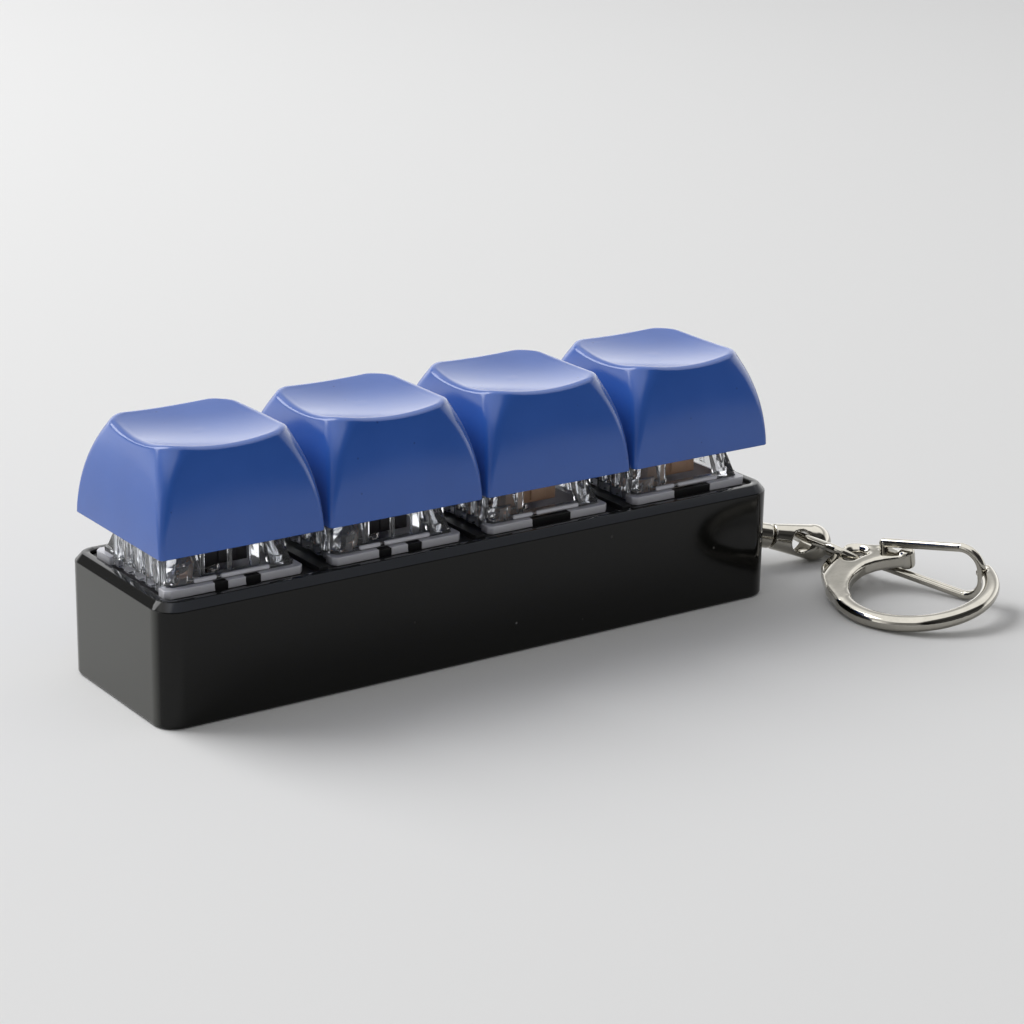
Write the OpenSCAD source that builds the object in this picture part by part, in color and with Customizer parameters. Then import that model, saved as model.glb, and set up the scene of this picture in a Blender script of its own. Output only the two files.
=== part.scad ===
// Four-key clicker on a swivel clasp: a finger exerciser.
// X runs along the row of keys, Z is up, and the origin is the middle of the case's underside.

/* [Keys] */
// Distance between the centres of neighbouring keys
key_pitch = 19.05; // [18.8:0.05:21]
// How far a key goes down
key_travel = 4; // [2.5:0.1:4]
// Width of a keycap at its lower edge
cap_w = 18.5; // [18.1:0.05:18.6]
// Height of a keycap at its corners
cap_h = 10.55; // [9.5:0.05:13]
// Straight part of the slope of a keycap's sides
cap_slope = 0.01; // [0:0.005:0.09]
// How fast a keycap's sides curve in towards the top, per millimetre
cap_curve = 0.0235; // [0.012:0.0005:0.025]
// Thickness of a keycap's walls
cap_wall = 1.05; // [0.9:0.05:1.1]
// How far a keycap's sides swell out at the top, between its corners
cap_swell = 0.9; // [0:0.05:1.2]
// How far a keycap's shell sits in front of its stem
cap_forward = 0.3; // [0:0.05:0.35]
// Thickness of a keycap's top at its middle
cap_top_t = 1.9; // [1.4:0.1:2.3]
// Radius of a keycap's upright corners at the lower edge
cap_r_low = 0.4; // [0.3:0.1:1.6]
// Radius of a keycap's upright corners at the top
cap_r_top = 2.4; // [2:0.1:3.4]
// Radius of the hollow for the fingertip
dish_r = 38; // [28:1:60]
// Depth of the hollow for the fingertip, below the corners
dish_depth = 0.95; // [0.7:0.05:1.4]
// Diameter of the boss under a keycap
boss_d = 5.5; // [5.3:0.05:5.8]

/* [Switch] */
// Side of the square hole that a switch sits in
cut_w = 14; // [13.9:0.05:14.4]
// Side of the flange that lies on the plate
flange_w = 15.6; // [15.2:0.05:15.7]
// Thickness of the flange
flange_t = 0.9; // [0.8:0.05:1.1]
// Depth of the lower housing below the plate's top face
base_depth = 5; // [4.8:0.1:5.6]
// Height of the upper housing above the flange
top_rise = 5.7; // [5.5:0.1:6.2]
// Width of the upper housing at its top, along the row
top_w = 10.6; // [10:0.1:11.4]
// Width of the upper housing at its top, across the row
top_d = 10; // [9.4:0.1:11]
// Thickness of the housings' walls
housing_wall = 0.8; // [0.6:0.05:1]
// Width of the slider
slider_w = 7.2; // [6.8:0.05:7.4]
// Depth of the slider
slider_d = 5.6; // [5.55:0.05:5.8]
// Gap between the slider and the opening in the upper housing
slider_gap = 0.25; // [0.15:0.05:0.4]
// Span of the cross that holds the keycap
cross_w = 4.1; // [3.9:0.05:4.3]
// Thickness of the cross's arms
cross_t = 1.3; // [1.1:0.05:1.4]
// Height of the cross above the slider
cross_h = 3.9; // [3.4:0.1:4.2]
// Diameter of the locating peg under a switch
peg_d = 4; // [3.8:0.05:4.4]
// Length of the locating peg
peg_l = 3.3; // [3:0.1:3.6]
// Diameter of the slider's guide pin
guide_d = 1.7; // [1.5:0.05:1.8]
// Outside diameter of the spring
spring_d = 4.3; // [4.2:0.05:4.5]
// Diameter of the spring's wire
spring_wire = 0.35; // [0.3:0.01:0.38]
// Turns in a spring
spring_turns = 7; // [5:1:8]

/* [Case] */
// Distance from an end key's centre to the end of the case
end_margin = 9.725; // [9.7:0.025:12]
// Width of the case
case_w = 20.9; // [20.6:0.1:24]
// Height of the case
case_h = 13.1; // [13:0.1:13.4]
// Radius of the case's upright corners
case_r = 2.5; // [2:0.1:3.5]
// Thickness of the case's walls and floor
case_wall = 1.6; // [1.4:0.05:1.7]
// Width of the bevel round the rim
rim_in = 0.75; // [0.5:0.05:0.9]
// Height of the bevel round the rim
rim_down = 0.8; // [0.5:0.05:1]
// Bevel round the underside
foot_bevel = 0.4; // [0.2:0.05:0.6]
// Depth of the plate's top face below the rim
plate_sunk = 0.4; // [0.3:0.05:0.6]
// Thickness of the plate
plate_t = 1.5; // [1.3:0.05:1.6]
// Width of the ledge that carries the plate
ledge_w = 0.8; // [0.6:0.05:0.9]
// Height of the webs between the switches
web_h = 0.6; // [0.4:0.05:0.7]
// Thickness of the webs between the switches
web_t = 1.1; // [0.8:0.1:1.6]

/* [Keychain] */
// Height of the keychain ring's middle above the table
ring_z = 4.5; // [4.4:0.1:4.8]
// Radius of the keychain ring, at the middle of its wire
ring_r = 2.3; // [2.2:0.05:2.6]
// Thickness of the keychain ring's wire
ring_wire = 0.9; // [0.8:0.05:0.95]
// Diameter of the bar that the ring hangs on
bar_d = 1.8; // [1.6:0.05:1.85]
// Height of the slot round the bar
slot_h = 2.8; // [2.2:0.1:2.9]
// Half of the width of the slot round the bar
slot_half = 3.9; // [3.8:0.05:4.4]
// Diameter of the swivel's collar
collar_d = 2.85; // [2.5:0.05:3]
// Distance from the ring's wire to the barrel
barrel_at = 5.27; // [5.1:0.01:6]
// Length of the barrel to the middle of its round end
barrel_l = 5.4; // [5.3:0.1:6]
// Radius of the barrel where it meets the collar
barrel_r_low = 1.42; // [1.4:0.02:1.6]
// Radius of the barrel's round end
barrel_r_end = 2.08; // [2.06:0.02:2.3]
// Diameter of the hole across the barrel
barrel_hole = 2.7; // [2.6:0.05:2.8]
// Diameter of the swivel's shank
shank_d = 1.6; // [1.4:0.05:1.7]
// Thickness of the oval link's wire
link_wire = 0.95; // [0.8:0.05:1]
// Distance between the two strands of the oval link
link_w = 4.8; // [4.6:0.05:5.4]
// Length of the oval link, at the middle of its wire
link_l = 12.2; // [11.8:0.1:15]

/* [Clasp] */
// Outer radius of the clasp's ring
clasp_ro = 9.28; // [9.2:0.02:9.6]
// Width of the clasp's ring
clasp_band = 1.92; // [1.7:0.02:2]
// Thickness of the clasp
clasp_t = 1.5; // [1.4:0.05:1.7]
// Radius of the clasp's head round the link's hole
head_r = 2.5; // [2.45:0.05:2.7]
// Diameter of the hole for the link
head_hole = 2.85; // [2.75:0.05:2.95]
// Thickness of the gate's wire
gate_wire = 1; // [0.8:0.05:1.05]
// Length of the gate, from its pivot to the middle of its bow
gate_l = 12.37; // [12.2:0.01:12.5]

/* [Hidden] */
$fn = 64;

// Clearances: fit is for pieces that stay together, run for a shaft that turns,
// free for pieces that pass each other
fit = 0.05;
run = 0.05;
free = 0.3;
eps = 0.01;

// Case
case_l = 3 * key_pitch + 2 * end_margin;
plate_z = case_h - plate_sunk;
ledge_z = plate_z - plate_t;
cavity_l = case_l - 2 * case_wall;
cavity_w = case_w - 2 * case_wall;
cavity_r = max(case_r - case_wall, 0.5);
plate_gap = 0.15;
plate_l = cavity_l - 2 * plate_gap;
plate_w = cavity_w - 2 * plate_gap;
clip_l = 5;
clip_h = 0.6;
clip_out = 0.3;

// Switch housings
flange_z = plate_z + flange_t;
housing_z = flange_z + top_rise;
base_z = plate_z - base_depth;
floor_z = base_z + 1;
ceiling_z = housing_z - housing_wall;
base_w = cut_w - 2 * fit;
chamber_w = base_w - 2 * housing_wall;
flange_clip = 0.5;

// Upper housing: its skirt lies on the flange, and carries the ribs, the lens and the post
skirt_t = 0.45;
skirt_in = 0.6;
skirt_front = 0.8;
skirt_w = flange_w - 2 * skirt_in;
skirt_y = skirt_front - flange_w / 2;
// Ribs on both sides, from front to back: middle, length and height
RIBS = [[-3.6, 3.1, 2.9], [-0.4, 1.8, 3.3], [3.4, 2.2, 3]];
rib_in = 0.1;
// Window in the front wall: middle, width and height, then the middle and width of each bar in it
window_x = 0.5;
window_w = 7.8;
window_h = 3.3;
WINDOW_BARS = [[[-2.9, 0.35], [0.15, 0.35], [3, 1]], [[-2.9, 0.7]]];
window_bar_t = 0.4;
// Lens at the left of the window: radius and height of its straight part and of its top
lens_x = 2.3;
LENS_R = [2.05, 1.85];
LENS_H = [1.5, 1.15];
LENS_TOP_R = [1.45, 0.9];
LENS_TOP_H = [1.4, 1.9];
// Post at the right of the window
post_x = 2.45;
POST_D = [0.8, 1.05];
POST_LEAN = [0.9, 0.4];
post_h = 3.2;
post_foot_d = 1.4;
post_foot_h = 0.7;
// Notches in the front edge of the flange: middle and length
NOTCHES = [[[-1.65, 1.5], [1.95, 1.7]], [[0.2, 5]]];
notch_in = 0.4;
notch_low = 0.25;

// Slider: its wings stop under the upper housing's ceiling
wing_z = ceiling_z - 0.15;
wing_h = 3.2;
wing_w = slider_w + 1.2;
wing_d = 4;
leg_front = top_d / 2 - housing_wall - free;
field_x = 1;
field_w = 2;
field_h = 2.6;
field_t = 0.25;
slider_top = housing_z - 0.3;
slider_low = flange_z + 0.35;
cross_z = slider_top + cross_h;
seat_z = slider_low + 1.4;
seat_d = spring_d + 0.5;
guide_bore = guide_d + 0.4;
guide_wall = 0.4;
guide_z = floor_z + 2.4;
guide_low = guide_z - 1.3;
bore_low = guide_low - key_travel - 0.5;
peg_low = min(base_z - peg_l, bore_low - 0.6);

// Spring
spring_low = floor_z + spring_wire / 2 + 0.03;
spring_top = seat_z - spring_wire / 2 - 0.1;
spring_r = (spring_d - spring_wire) / 2;
spring_rise = (spring_top - spring_low) / spring_turns;

// Keycap
cap_over_rim = 0.4;
cap_z = case_h + cap_over_rim + key_travel;
cap_top_z = cap_z + cap_h;
dish_low = cap_top_z - dish_depth;
cap_ceiling = dish_low - cap_top_t;
boss_z = slider_top + 0.15;
socket_top = cross_z + 0.15;

// Keychain: angles are read from how the chain lies on the table beside the case
bar_x = case_l / 2 - 0.1 - bar_d / 2;
ring_in = bar_d / 2 + ring_wire / 2 + 0.1;
ring_off = ring_r - ring_in;
chain_yaw = -16.5;
chain_droop = 12.7;
chain_reach = ring_off + ring_r;
swivel_at = [bar_x + chain_reach * cos(chain_yaw), chain_reach * sin(chain_yaw), ring_z];
eye_hole = ring_wire + 0.4;
eye_d = eye_hole + 1.7;
eye_t = 1.2;
collar_at = 2.2;
chamber_at = barrel_at + 1.6;
chamber_d = shank_d + 1.1;
head_at = chamber_at + 0.08;
head_t = 0.42;
hole_at = barrel_at + 3.3;
hole_turn = -8.5;

// Oval link: its far end runs through the barrel's cross hole
link_turn = [-6.4, 0, -9.5];
link_lean = 30.5;
link_half = link_w / 2;
link_pass = link_l - link_half - 1.1;
link_lift = 0.54;
link_shift = 0.3;

// Clasp: lies flat on the table, turned and tilted a little
clasp_lean = -10.4;
clasp_tip = 2.2;
clasp_ri = clasp_ro - clasp_band;
clasp_rm = clasp_ro - clasp_band / 2;
hole_xy = [0.1, clasp_rm + 2];
pivot_xy = [3.09, clasp_rm + 0.15];
nub_xy = [4.4, 4.5];
gate_turn = -71.3;
bow_xy = pivot_xy + gate_l * [cos(gate_turn), sin(gate_turn)];
tip_angle = -18;
leg_low = clasp_t / 2 + gate_wire / 2 + 0.3;
leg_high = 3;
leg_l = gate_l - 2.4;
gate_pin_d = gate_wire + 2 * run;

// ---- Shapes ----

// A box centred on the Z axis, between two heights
module block(l, w, z0, z1) {
    translate([-l / 2, -w / 2, z0])
        cube([l, w, z1 - z0]);
}

// A box with round upright corners
module round_block(l, w, r, z0, z1) {
    block(l - 2 * r, w, z0, z1);
    block(l, w - 2 * r, z0, z1);
    for (x = [-1, 1], y = [-1, 1])
        translate([x * (l / 2 - r), y * (w / 2 - r), z0])
            cylinder(r = r, h = z1 - z0);
}

// The upright outline from the middle out to a bevelled edge
function bevel_side(half, low, inset, down, h) = [
    [0, 0], [half - low, 0], [half, low], [half, h - down], [half - inset, h], [0, h]
];

// A box with round upright corners and bevelled upper and lower edges
module bevel_block(l, w, h, r, low, inset, down) {
    for (side = [0, 1])
        mirror([side, 0, 0])
            rotate([90, 0, 0])
                linear_extrude(w - 2 * r, center = true)
                    polygon(bevel_side(l / 2, low, inset, down, h));
    for (side = [0, 1])
        mirror([0, side, 0])
            rotate([90, 0, 90])
                linear_extrude(l - 2 * r, center = true)
                    polygon(bevel_side(w / 2, low, inset, down, h));
    for (x = [-1, 1], y = [-1, 1])
        translate([x * (l / 2 - r), y * (w / 2 - r), 0])
            rotate_extrude()
                polygon(bevel_side(r, low, inset, down, h));
}

// A box whose four sides lean in: l and w are the sizes below and above
module lean_block(l, w, z0, z1) {
    intersection() {
        rotate([90, 0, 0])
            linear_extrude(w[0], center = true)
                polygon([[-l[0] / 2, z0], [l[0] / 2, z0], [l[1] / 2, z1], [-l[1] / 2, z1]]);
        rotate([90, 0, 90])
            linear_extrude(l[0], center = true)
                polygon([[-w[0] / 2, z0], [w[0] / 2, z0], [w[1] / 2, z1], [-w[1] / 2, z1]]);
    }
}

// A flat rectangle with clipped corners
module clipped(l, w, clip) {
    x = l / 2;
    y = w / 2;
    polygon([
        [clip - x, -y], [x - clip, -y], [x, clip - y], [x, y - clip],
        [x - clip, y], [clip - x, y], [-x, y - clip], [-x, clip - y]
    ]);
}

// A flat rectangle with round corners
module round_rect(l, w, r) {
    square([l - 2 * r, w], center = true);
    square([l, w - 2 * r], center = true);
    for (x = [-1, 1], y = [-1, 1])
        translate([x * (l / 2 - r), y * (w / 2 - r)])
            circle(r);
}

// A flat bar between two points, with a round end at each
module bar_2d(a, b, ra, rb) {
    d = b - a;
    n = [-d[1], d[0]] / norm(d);
    polygon([a + n * ra, a - n * ra, b - n * rb, b + n * rb]);
    translate(a)
        circle(ra);
    translate(b)
        circle(rb);
}

// A straight round wire between two points
module wire(a, b, d) {
    v = b - a;
    translate(a)
        rotate([0, acos(v[2] / norm(v)), atan2(v[1], v[0])])
            cylinder(d = d, h = norm(v));
}

// The bend where two wires meet, a little fuller than the wire
module bend(at, d) {
    translate(at)
        sphere(d = d + 0.06);
}

// Puts children at the centre of key k, counted from the far end of the row
module at_key(k) {
    translate([(k - 2.5) * key_pitch, 0, 0])
        children();
}

// ---- Case ----

module case_shell() {
    color([0.09, 0.09, 0.08]) {
        difference() {
            bevel_block(case_l, case_w, case_h, case_r, foot_bevel, rim_in, rim_down);
            difference() {
                union() {
                    round_block(cavity_l, cavity_w, cavity_r, ledge_z, case_h + eps);
                    round_block(cavity_l - 2 * ledge_w, cavity_w - 2 * ledge_w, cavity_r,
                        case_wall, ledge_z + eps);
                }
                ring_socket();
            }
            for (k = [1:4])
                at_key(k)
                    switch_pocket();
            ring_slot();
            for (x = [-1, 0, 1], y = [-1, 1])
                translate([x * key_pitch, y * cavity_w / 2, 0])
                    block(clip_l + free, 2 * (clip_out + plate_gap), ledge_z + 0.4, ledge_z + 0.4 + clip_h + 0.1);
        }
        translate([bar_x, 0, ring_z - slot_h / 2 - 0.2])
            cylinder(d = bar_d, h = slot_h + 0.4);
    }
}

// The room that a switch needs in the ledge and in the rim
module switch_pocket() {
    block(cut_w, cut_w, base_z, ledge_z + eps);
    block(flange_w + 2 * free, flange_w + 2 * free, plate_z, case_h + eps);
}

// The walls inside the case round the keychain ring's slot
module ring_socket() {
    socket_l = 4.8;
    translate([case_l / 2 - socket_l / 2, 0, 0])
        block(socket_l, 2 * slot_half + 2, case_wall - eps, ring_z + slot_h / 2 + 0.9);
}

// The slot in the end wall that the ring swings in
module ring_slot() {
    slot_l = 3.5;
    translate([case_l / 2 - slot_l / 2 + eps, 0, 0])
        block(slot_l + 2 * eps, 2 * slot_half, ring_z - slot_h / 2, ring_z + slot_h / 2);
}

module switch_plate() {
    color([0.13, 0.13, 0.13]) {
        difference() {
            round_block(plate_l, plate_w, cavity_r, ledge_z, plate_z);
            for (k = [1:4])
                at_key(k)
                    block(cut_w, cut_w, ledge_z - eps, plate_z + eps);
        }
        for (x = [-1, 0, 1]) {
            translate([x * key_pitch, 0, 0])
                block(web_t, plate_w, plate_z - eps, plate_z + web_h);
            for (y = [-1, 1])
                translate([x * key_pitch, y * plate_w / 2, 0])
                    block(clip_l, 2 * (clip_out + plate_gap) - 0.1, ledge_z + 0.45, ledge_z + 0.45 + clip_h);
        }
    }
}

// ---- Switches ----

// Kind 0 has a big lens and a leaning post, kind 1 a small lens and a thick post
module lens(kind) {
    straight = LENS_H[kind] + skirt_t;
    translate([-flange_w / 2 + lens_x, skirt_y + LENS_R[kind] - 0.05, flange_z]) {
        cylinder(r = LENS_R[kind], h = straight);
        translate([0, 0, straight - eps])
            cylinder(r1 = kind == 0 ? LENS_R[kind] : LENS_TOP_R[kind], r2 = LENS_TOP_R[kind],
                h = LENS_TOP_H[kind]);
    }
}

module post(kind) {
    foot = [flange_w / 2 - post_x, skirt_y + post_foot_d / 2 + 0.05, flange_z + skirt_t - eps];
    translate(foot)
        cylinder(d = post_foot_d, h = post_foot_h);
    wire(foot, foot + [-POST_LEAN[kind], 0.3, post_h], POST_D[kind]);
}

module skirt() {
    translate([0, skirt_front / 2 - skirt_in / 2, flange_z])
        linear_extrude(skirt_t)
            clipped(skirt_w, flange_w - skirt_front - skirt_in, flange_clip);
    for (side = [-1, 1], rib = RIBS)
        translate([side * (skirt_w / 2 - rib_in + top_w / 2) / 2, rib[0], 0])
            block(skirt_w / 2 - rib_in - top_w / 2, rib[1], flange_z, flange_z + rib[2]);
}

module housing_top(kind) {
    window_low = flange_z + skirt_t;
    color([0.85, 0.88, 0.9, 0.5])
        difference() {
            union() {
                difference() {
                    lean_block([base_w, top_w], [base_w, top_d], flange_z, housing_z);
                    translate([window_x, -base_w / 2, 0])
                        block(window_w, base_w - top_d + 2 * housing_wall, window_low, window_low + window_h);
                }
                skirt();
                lens(kind);
                post(kind);
                for (bar = WINDOW_BARS[kind])
                    translate([bar[0], -base_w / 2 + housing_wall, 0])
                        block(bar[1], window_bar_t, flange_z, window_low + window_h + eps);
            }
            lean_block([chamber_w, top_w - 2 * housing_wall], [chamber_w, top_d - 2 * housing_wall],
                flange_z - 2 * eps, ceiling_z);
            block(slider_w + 2 * slider_gap, slider_d + 2 * slider_gap, ceiling_z - 1, housing_z + 1);
        }
}

module housing_base(kind) {
    color([0.78, 0.8, 0.82, 0.6]) {
        difference() {
            union() {
                translate([0, 0, plate_z])
                    linear_extrude(flange_t)
                        clipped(flange_w, flange_w, flange_clip);
                block(base_w, base_w, base_z, plate_z + eps);
                translate([0, 0, peg_low])
                    cylinder(d = peg_d, h = base_z - peg_low + eps);
            }
            block(chamber_w, chamber_w, floor_z, flange_z + eps);
            translate([0, 0, bore_low])
                cylinder(d = guide_bore, h = floor_z - bore_low + eps);
            for (c = CONTACTS)
                translate([c[0], c[1], 0])
                    block(blade_w + 2 * fit, blade_t + 2 * fit, base_z - eps, floor_z + eps);
            for (notch = NOTCHES[kind])
                translate([notch[0], -flange_w / 2, 0])
                    block(notch[1], 2 * notch_in, plate_z + notch_low, flange_z + eps);
        }
        difference() {
            translate([0, 0, floor_z - eps])
                cylinder(d = guide_bore + 2 * guide_wall, h = guide_z - floor_z + eps);
            translate([0, 0, floor_z - 2 * eps])
                cylinder(d = guide_bore, h = guide_z - floor_z + 1);
        }
    }
}

// Contact blades: centre, and how far the bent arm reaches along the row
blade_w = 1.2;
blade_t = 0.3;
arm_h = 1.4;
CONTACTS = [[-3.81, 3.7, 5], [2.54, 4.9, -3.6]];

module contacts() {
    color([0.8, 0.52, 0.3])
        for (c = CONTACTS) {
            translate([c[0], c[1], 0])
                block(blade_w, blade_t, base_z - peg_l, flange_z - 0.9);
            translate([c[0] + c[2] / 2, c[1], 0])
                block(abs(c[2]), blade_t, flange_z - 0.9 - arm_h, flange_z - 0.9);
        }
}

module stem(kind) {
    color(kind == 0 ? [0.2, 0.19, 0.19] : [0.62, 0.48, 0.36]) {
        difference() {
            union() {
                block(slider_w, slider_d, slider_low, slider_top);
                block(wing_w, wing_d, wing_z - wing_h, wing_z);
                translate([0, -leg_front / 2, 0])
                    block(slider_w - 0.4, leg_front, slider_low, wing_z);
                translate([field_x, -leg_front, 0])
                    block(field_w, 2 * field_t, slider_low + 0.3, slider_low + 0.3 + field_h);
            }
            translate([0, 0, slider_low - eps])
                cylinder(d = seat_d, h = seat_z - slider_low + eps);
        }
        translate([0, 0, guide_low])
            cylinder(d = guide_d, h = seat_z - guide_low + eps);
        block(cross_w, cross_t, slider_top - eps, cross_z);
        block(cross_t, cross_w, slider_top - eps, cross_z);
    }
}

// The spring is one wire wound round the guide
RINGS = 8;
SIDES = 6;
function coil_at(i) = [
    spring_r * cos(360 * i / RINGS),
    spring_r * sin(360 * i / RINGS),
    spring_low + spring_rise * i / RINGS
];
function coil_path() = let (last = RINGS * spring_turns) concat(
    [coil_at(0) - spring_wire * [0, 1, 0]],
    [for (i = [0:last]) coil_at(i)],
    [coil_at(last) + spring_wire * [0, 1, 0]]
);
// One ring of points round the wire, at point i of its path
function coil_ring(i) = let (
    turn = 360 * (min(max(i, 1), RINGS * spring_turns + 1) - 1) / RINGS,
    out = [cos(turn), sin(turn), 0]
) [for (k = [0:SIDES - 1])
    coil_path()[i] + spring_wire / 2 * (cos(360 * k / SIDES) * out + [0, 0, sin(360 * k / SIDES)])];

module spring() {
    last = RINGS * spring_turns + 2;
    points = [for (i = [0:last]) each coil_ring(i)];
    sides = [for (i = [0:last - 1], k = [0:SIDES - 1])
        let (a = i * SIDES + k, b = i * SIDES + (k + 1) % SIDES)
            each [[a, a + SIDES, b + SIDES], [a, b + SIDES, b]]];
    first_end = [for (k = [1:SIDES - 2]) [0, k, k + 1]];
    last_end = [for (k = [1:SIDES - 2]) [last * SIDES, last * SIDES + k + 1, last * SIDES + k]];
    color([0.75, 0.75, 0.73])
        polyhedron(points, concat(sides, first_end, last_end));
}
echo(least_spring_gap = spring_rise - spring_wire);

// ---- Keycaps ----

// Half of a keycap's width, and its corner radius, at a height above its lower edge
function cap_half(z) = cap_w / 2 - cap_slope * z - cap_curve * z * z;
function cap_corner(z) = cap_r_low + (cap_r_top - cap_r_low) * z / cap_h;

// The points of a square with round corners and swollen sides, as one closed ring
CORNER_STEPS = 5;
SIDE_STEPS = 4;
function square_ring(half, r, swell, z) = [
    for (c = [0:3])
        let (a = 90 * c, sx = sign(cos(a + 45)), sy = sign(sin(a + 45)))
            each concat(
                [for (s = [0:CORNER_STEPS])
                    let (t = a + 90 * s / CORNER_STEPS)
                        swollen([sx * (half - r) + r * cos(t), sy * (half - r) + r * sin(t)], half, swell, z)],
                [for (s = [1:SIDE_STEPS - 1])
                    let (t = 1 - 2 * s / SIDE_STEPS, along = t * (half - r))
                        swollen(c == 0 || c == 2 ? [sx * along, sy * half] : [sx * half, sy * along],
                            half, swell, z)]
            )
];
function swollen(p, half, swell, z) = [
    p[0] + swell * p[0] / half * max(0, 1 - pow(p[1] / half, 2)),
    p[1] + swell * p[1] / half * max(0, 1 - pow(p[0] / half, 2)),
    z
];
function cap_swell_at(z) = cap_swell * pow(z / cap_h, 2);

// A solid through rings that lie above one another
module loft(rings) {
    n = len(rings[0]);
    last = len(rings) - 1;
    points = [for (ring = rings) each ring];
    sides = [for (i = [0:last - 1], k = [0:n - 1])
        let (a = i * n + k, b = i * n + (k + 1) % n)
            each [[a, b + n, b], [a, a + n, b + n]]];
    low = [for (k = [1:n - 2]) [0, k, k + 1]];
    high = [for (k = [1:n - 2]) [last * n, last * n + k + 1, last * n + k]];
    polyhedron(points, concat(sides, low, high));
}

module keycap() {
    levels = 8;
    inner_levels = 5;
    inner_h = cap_ceiling - cap_z;
    color([0.13, 0.25, 0.62]) {
        translate([0, -cap_forward, 0])
            difference() {
                loft([for (i = [0:levels])
                    let (z = cap_h * i / levels)
                        square_ring(cap_half(z), cap_corner(z), cap_swell_at(z), cap_z + z)]);
                loft([for (i = [0:inner_levels])
                    let (z = inner_h * i / inner_levels)
                        square_ring(cap_half(z) - cap_wall, max(cap_corner(z) - cap_wall, 0.4),
                            cap_swell_at(z), cap_z + z - (i == 0 ? eps : 0))]);
                translate([0, 0, dish_low + dish_r])
                    sphere(r = dish_r, $fn = 200);
            }
        difference() {
            translate([0, 0, boss_z])
                cylinder(d = boss_d, h = cap_ceiling - boss_z + 0.2);
            block(cross_w + 2 * fit, cross_t + 2 * fit, boss_z - eps, socket_top);
            block(cross_t + 2 * fit, cross_w + 2 * fit, boss_z - eps, socket_top);
        }
    }
}

// ---- Keychain ----

module jump_ring() {
    color([0.78, 0.76, 0.72])
        translate([bar_x, 0, ring_z])
            rotate([0, 0, chain_yaw])
                translate([ring_off, 0, 0])
                    rotate_extrude()
                        translate([ring_r, 0])
                            circle(d = ring_wire, $fn = 32);
}

// X runs along the swivel from the middle of the ring's wire
module swivel_frame() {
    translate(swivel_at)
        rotate([0, chain_droop, chain_yaw])
            children();
}

// A solid turned about the X axis: points are distance along, radius
module turned(points) {
    rotate([0, 90, 0])
        rotate_extrude()
            polygon([for (p = points) [p[1], p[0]]]);
}

module swivel_stud() {
    neck_r = shank_d / 2;
    collar_r = collar_d / 2;
    collar_end = barrel_at - 0.1;
    color([0.78, 0.76, 0.72])
        swivel_frame() {
            difference() {
                union() {
                    rotate([90, 0, 0])
                        cylinder(d = eye_d, h = eye_t, center = true);
                    translate([0, -eye_t / 2, -eye_t / 2])
                        cube([collar_at + 0.2, eye_t, eye_t]);
                }
                rotate([90, 0, 0])
                    cylinder(d = eye_hole, h = eye_t + 1, center = true);
            }
            turned([
                [collar_at, 0], [collar_at, collar_r - 0.5], [collar_at + 0.5, collar_r],
                [collar_end - 0.4, collar_r], [collar_end, collar_r - 0.35],
                [collar_end, neck_r], [head_at, neck_r], [head_at, chamber_d / 2 - 0.2],
                [head_at + head_t, chamber_d / 2 - 0.35], [head_at + head_t, 0]
            ]);
        }
}

module swivel_barrel() {
    bore_d = shank_d + 2 * run;
    hole_edge = 0.35;
    color([0.78, 0.76, 0.72])
        swivel_frame()
            difference() {
                union() {
                    translate([barrel_at, 0, 0])
                        rotate([0, 90, 0])
                            cylinder(r1 = barrel_r_low, r2 = barrel_r_end - 0.03, h = barrel_l);
                    translate([barrel_at + barrel_l, 0, 0])
                        sphere(r = barrel_r_end);
                }
                translate([barrel_at - eps, 0, 0])
                    rotate([0, 90, 0])
                        cylinder(d = bore_d, h = hole_at - barrel_at);
                translate([chamber_at, 0, 0])
                    rotate([0, 90, 0])
                        cylinder(d = chamber_d, h = hole_at - chamber_at);
                translate([hole_at, 0, 0])
                    rotate([hole_turn + 90, 0, 0]) {
                        cylinder(d = barrel_hole, h = 6, center = true);
                        for (side = [0, 1])
                            mirror([0, 0, side])
                                translate([0, 0, barrel_r_end - hole_edge - 0.15])
                                    cylinder(d1 = barrel_hole, d2 = barrel_hole + 2, h = 1);
                    }
            }
}

function turn_x(a) = [[1, 0, 0], [0, cos(a), -sin(a)], [0, sin(a), cos(a)]];
function turn_y(a) = [[cos(a), 0, sin(a)], [0, 1, 0], [-sin(a), 0, cos(a)]];
function turn_z(a) = [[cos(a), -sin(a), 0], [sin(a), cos(a), 0], [0, 0, 1]];
swivel_axes = turn_z(chain_yaw) * turn_y(chain_droop);
link_axes = turn_z(link_turn[2]) * turn_x(link_turn[0]) * turn_y(link_lean);
clasp_axes = turn_y(clasp_lean) * turn_x(clasp_tip);

// Middle of the cross hole, then of the wire at the clasp's end of the link, then of the clasp
cross_at = swivel_at + swivel_axes * [hole_at, 0, 0];
link_at = cross_at + swivel_axes * [link_shift, 0, 0] + link_axes * [link_half, -link_pass, 0]
    + [0, 0, link_lift];
clasp_at = link_at - clasp_axes * [hole_xy[0], hole_xy[1], 0];

module chain_link() {
    straight = link_l - link_w;
    color([0.78, 0.76, 0.72])
        translate(link_at)
            rotate(link_turn)
                rotate([0, link_lean, 0])
                    translate([0, link_half, 0]) {
                        for (side = [-1, 1])
                            translate([side * link_half, 0, 0])
                                rotate([-90, 0, 0])
                                    cylinder(d = link_wire, h = straight);
                        rotate([0, 0, 180])
                            rotate_extrude(angle = 180)
                                translate([link_half, 0])
                                    circle(d = link_wire, $fn = 32);
                        translate([0, straight, 0])
                            rotate_extrude(angle = 180)
                                translate([link_half, 0])
                                    circle(d = link_wire, $fn = 32);
                    }
}

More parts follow.
